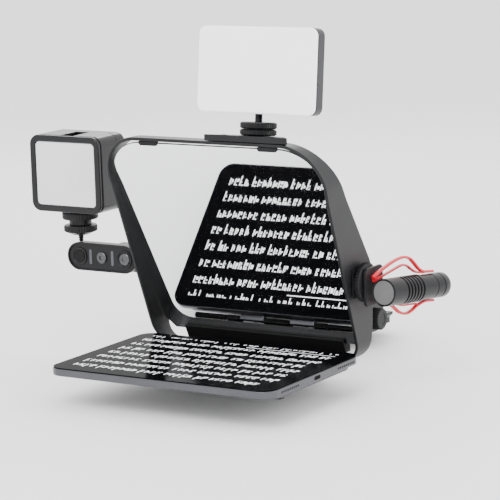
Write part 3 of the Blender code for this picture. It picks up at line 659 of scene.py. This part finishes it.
def make_side_arm():
    body = prism("arm_core", swap(stadium(ARM_R)), "Y", -9.0, -2.0, ANODISED, "arm", bevel=0.8, steps=3)
    rim = band("arm_rim", swap(stadium(ARM_R)), swap(stadium(ARM_R - 1.4)), "Y", -10.0, -8.8, ANODISED, "arm",
               bevel=0.3)
    rings = []
    for x in (PIVOT_X, END_X):
        profile = [(5.2, -9.1), (7.2, -9.1), (7.2, -9.8), (6.8, -10.0), (5.6, -9.4)]
        rings.append(lathe("arm_ring", profile, "Y", (x, 0, ARM_Z), ANODISED, "arm", segments=48))
    arm = join("extension_arm", [body, rim] + rings)
    stands_for(arm, "black_metal", "side_arm")
    middle = (PIVOT_X + END_X) / 2
    slots = [prism("arm_slot", swap(rounded(x - 1.2, x + 1.2, ARM_Z - 6.0, ARM_Z + 6.0, 1.1, 5)), "Y", -9.15,
                   -8.9,
                   SPACE_GREY, "arm", bevel=0.0) for x in (middle - 11.0, middle + 10.0)]
    join("arm_slots", slots)
    profile = [(0, -9.6), (1.8, -9.6), (1.8, -10.4), (4.0, -10.4), (4.6, -10.0), (4.6, -8.9), (0, -8.9)]
    screw = lathe("arm_middle_screw", profile, "Y", (middle, 0, ARM_Z), STEEL, "arm", segments=48)
    stands_for(screw, "screw_steel", "side_arm_centre_screw")
    pad = lathe("arm_end_pad", [(0, -9.3), (3.6, -9.3), (4.6, -9.5), (5.0, -9.2), (5.0, -8.9), (0, -8.9)],
                "Y",
                (END_X, 0, ARM_Z), RUBBER, "arm", segments=48)
    stands_for(pad, "rubber", "side_arm_end_cap")
    bolt = [(0, -9.4), (2.0, -9.4), (2.0, -9.8), (4.4, -9.8), (4.9, -9.4), (4.9, -8.7), (2.5, -8.7),
            (2.5, 5.2),
            (2.2, 5.6), (0, 5.6)]
    stands_for(lathe("arm_pivot_bolt", bolt, "Y", (PIVOT_X, 0, ARM_Z), STEEL, "frame", segments=48),
               "screw_steel",
               "side_arm_pivot_bolt")


def make_cube_light():
    x, y = END_X, -6.0
    low, high = x - 33.5, x + 33.5
    base, top = 96.3, 157.6
    stud = [(0, 70.6), (1.2, 70.6), (2.2, 71.6), (1.5, 72.6), (2.4, 73.6), (1.8, 74.4), (3.0, 75.8),
            (3.0, 101.8),
            (2.7, 102.2), (0, 102.2)]
    stands_for(lathe("cube_stud", stud, "Z", (x, y, 0), STEEL, "cube_light", segments=36), "screw_steel",
               "cube_light_stud")
    disc = [(3.3, 76.2), (6.0, 76.2), (9.0, 77.4), (13.0, 79.2), (13.4, 79.8), (13.4, 83.2), (12.8, 84.0),
            (9.0, 84.4),
            (3.3, 84.4)]
    stands_for(lathe("cube_lock_disc_a", disc, "Z", (x, y, 0), ANODISED, "cube_disc_low", teeth=40, tooth=0.5,
                     rows=(4, 5)), "black_metal", "cube_lock_disc_lower")
    disc = [(3.3, 84.7), (9.0, 84.7), (9.0, 88.4), (13.8, 89.2), (14.4, 90.0), (14.4, 94.2), (13.6, 95.2),
            (3.3, 95.2)]
    stands_for(lathe("cube_lock_disc_b", disc, "Z", (x, y, 0), ANODISED, "cube_disc_high", teeth=42,
                     tooth=0.5,
                     rows=(4, 5)), "black_metal", "cube_lock_disc_upper")
    line = swap(rounded(low, high, base, top, 8.0, 14))
    inset = swap(rounded(low + 0.8, high - 0.8, base + 0.8, top - 0.8, 7.2, 14))
    edge = rounded(low, high, base, top, 8.0, 14)
    notch = [(x + 6.3, top), (x + 6.3, top - 3.6), (x - 6.3, top - 3.6), (x - 6.3, top)]
    notched = swap(edge[:15] + notch + edge[15:])
    cases = [prism("cube_case_front", notched, "Y", -20.2, 2.0, GLOSS_BLACK, "cube_light", bevel=0.7,
                   steps=3),
             prism("cube_case_rear", line, "Y", 2.0, 12.5, GLOSS_BLACK, "cube_light", bevel=0.7, steps=3)]
    stands_for(join("cube_case", cases), "black_plastic", "cube_light_housing")
    # A flat near-black ring round the button: painted shade in its gap.
    ring = lathe("cube_button_ring", [(3.05, 12.4), (3.5, 12.4), (3.5, 12.54), (3.05, 12.54)], "Y",
                 (x, 0, 145.0), HOLE_SHADE,
                 "cube_light", segments=40)
    seam = prism("cube_seam", inset, "Y", -21.2, -20.1, MOULDED, "cube_light", bevel=0.0)
    inner = swap(rounded(low + 5.2, high - 5.2, base + 5.2, top - 5.2, 3.6, 14))
    bezel = band("cube_bezel", line, inner, "Y", -24.5, -21.1, GLOSS_BLACK, "cube_light", bevel=1.2)
    stands_for(bezel, "black_plastic", "cube_light_bezel")
    face = swap(rounded(low + 5.4, high - 5.4, base + 5.4, top - 5.4, 3.4, 14))
    stands_for(prism("cube_face", face, "Y", -23.6, -21.3, CUBE_WHITE, "cube_light", bevel=0.3), "diffuser",
               "cube_light_diffuser")
    rails = [prism("rail", swap(rounded(a, b, top - 0.2, top + 0.02, 0.1, 2)), "Y", -18.0, 4.0, SPACE_GREY,
                   "cube_light", bevel=0.0) for a, b in ((x - 24.0, x - 7.0), (x + 7.0, x + 24.0))]
    join("cube_shoe_plate", rails)
    # Grooves as flat near-black strips on the side: painted shade.
    grooves = [prism("groove", rounded(y0, y0 + 1.0, base + 14.0, top - 14.0, 0.4, 3), "X", high - 0.02,
                     high + 0.05,
                     HOLE_SHADE, "cube_light", bevel=0.0) for y0 in (-4.0, 0.0, 4.0)]
    join("cube_grooves", grooves)
    finish_node("cube_light_button", SPACE_GREY)


# ---------------------------------------------------------------- microphone

MIC_FRONT = Vector((118.0, -2.0, 48.7))
MIC_REAR = Vector((126.0, 85.0, 40.6))


def mic_place():
    along = (MIC_REAR - MIC_FRONT).normalized()
    side = Vector((1, 0, 0))
    side = (side - along * side.dot(along)).normalized()
    place = Matrix((side, along, side.cross(along))).transposed().to_4x4()
    place.translation = MIC_FRONT
    return place


def smooth_path(points, steps=8):
    """Catmull-Rom curve through 3-D points."""
    pts = [Vector(p) for p in points]
    pts = [pts[0] * 2 - pts[1]] + pts + [pts[-1] * 2 - pts[-2]]
    out = []
    for i in range(1, len(pts) - 2):
        a, b, c, d = pts[i - 1:i + 3]
        for s in range(steps):
            t = s / steps
            out.append(0.5 * (2 * b + (c - a) * t + (2 * a - 5 * b + 4 * c - d) * t * t
                              + (3 * b - a - 3 * c + d) * t ** 3))
    out.append(pts[-2])
    return out


def strand(name, points, wide, thick, swell=0.0):
    """Rounded strip along a path, wider by swell at its start."""
    path = smooth_path(points)
    ring = 12
    verts = []
    for i, point in enumerate(path):
        run = (path[min(i + 1, len(path) - 1)] - path[max(i - 1, 0)]).normalized()
        across = Vector((1, 0, 0))
        across = (across - run * across.dot(run)).normalized()
        up = run.cross(across)
        grow = 1.0 + swell * max(0.0, 1.0 - i / 10.0)
        for k in range(ring):
            angle = 2 * math.pi * k / ring
            c, s = math.cos(angle), math.sin(angle)
            c = math.copysign(abs(c) ** 0.6, c)
            s = math.copysign(abs(s) ** 0.6, s)
            verts.append(point + across * c * wide + up * s * thick * grow)
    count = len(path)
    faces = [tuple(range(ring)), tuple(range(ring * (count - 1), ring * count))]
    for i in range(count - 1):
        for k in range(ring):
            j = (k + 1) % ring
            faces.append((ring * i + k, ring * i + j, ring * i + ring + j, ring * i + ring + k))
    return make(name, verts, faces, RED, "mic")


def make_microphone():
    knob = [(0, 97.6), (13.6, 97.6), (15.0, 98.5), (15.0, 101.5), (13.8, 102.2), (9.5, 102.4), (9.0, 101.8),
            (5.0, 101.8), (4.6, 102.4), (0, 102.4)]
    stands_for(lathe("mic_knob_grip", knob, "X", (0, 4.0, 54.5), MOULDED, "mic_knob", teeth=40, tooth=0.8,
                     rows=(2, 3)), "black_plastic", "mic_lock_knob")
    base = prism("mic_base_plate", rounded(-5.0, 22.0, 37.0, 66.0, 4.0, 8), "X", 102.8, 105.3, MOULDED, "mic",
                 bevel=0.5)
    stands_for(base, "black_plastic", "mic_mount_base")
    outer = [(107.6, 2.0, 58.5), (108.6, 8.0, 61.6), (110.0, 16.7, 64.6), (112.0, 27.2, 67.6),
             (114.6, 36.2, 69.0),
             (116.8, 42.4, 67.2), (118.6, 46.6, 62.8), (120.4, 50.4, 58.0), (122.2, 55.5, 55.2),
             (124.2, 66.0, 53.8)]
    inner = [(107.6, 3.0, 56.6), (108.6, 12.0, 57.8), (110.5, 26.5, 60.4), (113.0, 37.0, 62.6),
             (115.0, 41.6, 61.4),
             (116.8, 44.6, 58.6), (119.0, 48.6, 55.8), (122.2, 55.5, 54.4)]
    upper = join("mic_spring_top", [strand("outer", outer, 1.7, 1.0, 0.9),
                                    strand("inner", inner, 1.5, 0.8, 0.9)])
    stands_for(upper, "red_spring", "mic_spring_upper")
    under = [(108.0, 8.0, 40.0), (109.5, 17.2, 37.0), (112.0, 24.2, 32.6), (114.0, 29.2, 28.0),
             (116.0, 35.7, 25.6),
             (118.0, 41.7, 27.0), (119.6, 47.6, 29.8), (122.0, 56.0, 31.9), (124.2, 66.0, 31.0)]
    second = [(108.6, 14.0, 37.6), (111.0, 24.0, 35.6), (114.0, 33.0, 32.4), (117.0, 40.0, 32.0),
              (119.6, 47.6, 31.4)]
    lower = join("mic_spring_bottom", [strand("outer", under, 1.7, 1.0), strand("inner", second, 1.4, 0.7)])
    stands_for(lower, "red_spring", "mic_spring_lower")
    place = mic_place()
    r = 10.5
    profile = [(0, 1.9), (9.2, 1.9), (9.5, 0.6), (10.0, 0.2), (r, 0.9), (r, 17.0)]
    for i in range(6):
        y = 19.0 + 4.2 * i
        profile += [(r, y), (r - 1.3, y + 0.5), (r - 1.3, y + 1.9), (r, y + 2.4)]
    profile += [(r, 45.5), (9.7, 46.6), (9.7, 62.0), (9.3, 62.3), (9.3, 62.9), (9.7, 63.2), (9.7, 72.0),
                (9.2, 72.3),
                (9.2, 73.0), (9.7, 73.3), (9.7, 79.4), (8.9, 80.9), (6.0, 80.9), (5.6, 80.4), (0, 80.4)]
    stands_for(lathe("mic_barrel", profile, "Y", (0, 0, 0), MIC_BLACK, "mic", place, segments=96),
               "black_metal",
               "mic_body")
    mesh = [(0, 0.35), (6.0, 0.45), (9.0, 0.8), (9.2, 1.2), (9.2, 1.7), (0, 1.7)]
    stands_for(lathe("mic_front_mesh", mesh, "Y", (0, 0, 0), MESH_GREY, "mic", place, segments=72),
               "grey_metal",
               "mic_grille")
    plug = [(0, 81.3), (3.6, 81.3), (3.6, 83.0), (3.0, 83.3), (3.0, 84.2), (3.5, 84.5), (3.5, 87.4),
            (3.1, 88.0),
            (0, 88.0)]
    stands_for(lathe("mic_jack", plug, "Y", (0, 0, 0), GLOSS_BLACK, "mic", place, segments=36),
               "black_plastic",
               "mic_plug")


# ---------------------------------------------------------------- stage

def soft_light(name, place, target, size, power, tint=(1, 1, 1)):
    data = bpy.data.lights.new(name, "AREA")
    data.shape = "RECTANGLE"
    data.size, data.size_y = size
    data.energy = power
    data.color = tint
    lamp = bpy.data.objects.new(name, data)
    bpy.context.scene.collection.objects.link(lamp)
    lamp.location = place
    aim = (Vector(target) - Vector(place)).to_track_quat("-Z", "Y")
    lamp.rotation_euler = aim.to_euler()


def make_stage():
    floor_z = CAD_LOW.z - 0.0004
    mesh = bpy.data.meshes.new("floor")
    reach = 12.0
    mesh.from_pydata([(-reach, -reach, floor_z), (reach, -reach, floor_z), (reach, reach, floor_z),
                      (-reach, reach, floor_z)], [], [(0, 1, 2, 3)])
    floor = bpy.data.objects.new("floor", mesh)
    bpy.context.scene.collection.objects.link(floor)
    mat = look("floor_pale", (0.93, 0.93, 0.93), 0.9, spread=0.004, cloud=2.0, bump=0.0)
    mesh.materials.append(mat)
    world = bpy.data.worlds.new("studio")
    bpy.context.scene.world = world
    world.use_nodes = True
    world.node_tree.nodes["Background"].inputs["Color"].default_value = (1, 1, 1, 1)
    world.node_tree.nodes["Background"].inputs["Strength"].default_value = WORLD_STRENGTH
    centre = (0.0, -0.1, 0.12)
    soft_light("key", (0.1, -1.0, 1.1), centre, (0.7, 0.7), 10.0)
    soft_light("side", (1.2, 0.2, 0.5), centre, (0.5, 0.9), 7.0)
    soft_light("rim", (-0.7, 0.9, 0.9), centre, (0.8, 0.4), 6.0)


set_camera()
make_stage()
make_hood()
make_glass()
make_marks()
make_tablet()
make_tray()
make_base()
make_top_light()
make_side_arm()
make_cube_light()
make_microphone()
